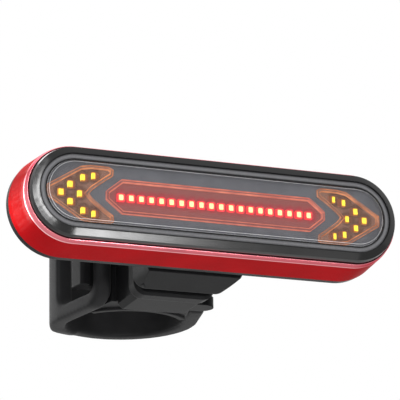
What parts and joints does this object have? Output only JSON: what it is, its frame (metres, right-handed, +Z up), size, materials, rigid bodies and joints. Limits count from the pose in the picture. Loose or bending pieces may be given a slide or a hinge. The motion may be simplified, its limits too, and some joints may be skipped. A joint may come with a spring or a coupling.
{
  "type": "bicycle turn signal light",
  "caption": "Bicycle rear light with red bar lamps and amber turn arrows behind a smoked lens, on a rubber-strap seat post bracket.",
  "frame": {"origin": "on the seat post's axis, at the middle height of the strap", "axes": "+Z up along the seat post, -Y the way the light shines, +X to the right as the light is seen from behind the bicycle"},
  "size_m": [0.1, 0.0919, 0.0295],
  "materials": {
    "red_anodised": "satin red anodised aluminium",
    "black_gloss": "glossy black moulded ABS",
    "smoked_lens": "clear smoked polycarbonate",
    "black_rubber": "matt black silicone rubber",
    "mask_grey": "dark grey moulded plastic",
    "guide_clear": "translucent light guide plastic",
    "board_green": "solder mask on glass fibre board",
    "red_lamp": "red light emitting diodes",
    "amber_lamp": "amber light emitting diodes",
    "black_matt": "matt black glass-filled nylon",
    "steel": "zinc-plated steel",
    "battery_foil": "foil pouch of a lithium cell",
    "foam": "closed-cell foam",
    "socket_steel": "nickel-plated steel shell",
    "module_can": "tinned steel shielding can"
  },
  "bodies": {
    "bracket": {"receiver": "black_matt", "receiver_bolts": "steel", "receiver_nuts": "steel", "saddle": "black_matt", "saddle_pad": "black_rubber", "strap": "black_rubber", "strap_pin": "steel"},
    "light": {"trim_ring": "red_anodised", "front_bezel": "black_gloss", "front_lens": "smoked_lens", "lens_seal": "black_rubber", "lamp_mask": "mask_grey", "bar_guide": "guide_clear", "left_arrow_guide": "guide_clear", "right_arrow_guide": "guide_clear", "lamp_board": "board_green", "red_lamps": "red_lamp", "left_amber_lamps": "amber_lamp", "right_amber_lamps": "amber_lamp", "cover_seal": "black_rubber", "rear_cover": "black_matt", "cover_screws": "steel", "battery": "battery_foil", "battery_foam": "foam", "radio_module": "module_can", "antenna": "steel", "charging_socket": "socket_steel", "button_switch": "black_matt"},
    "power_button": {"power_button": "black_rubber"},
    "port_flap": {"port_flap": "black_rubber"}
  },
  "joints": [
    {"name": "light_lift", "type": "slide", "parent": "bracket", "child": "light", "axis": [0, 0, 1], "range_m": [0, 0.032]},
    {"name": "button_press", "type": "slide", "parent": "light", "child": "power_button", "axis": [0, -1, 0], "range_m": [0, 0.0006], "stiffness_N_per_m": 1200, "springref_m": -0.0004},
    {"name": "flap_swing", "type": "hinge", "parent": "light", "child": "port_flap", "pos_m": [-0.0335, -0.0552, 0.002], "axis": [0, 0, 1], "range_deg": [0, 90]}
  ]
}
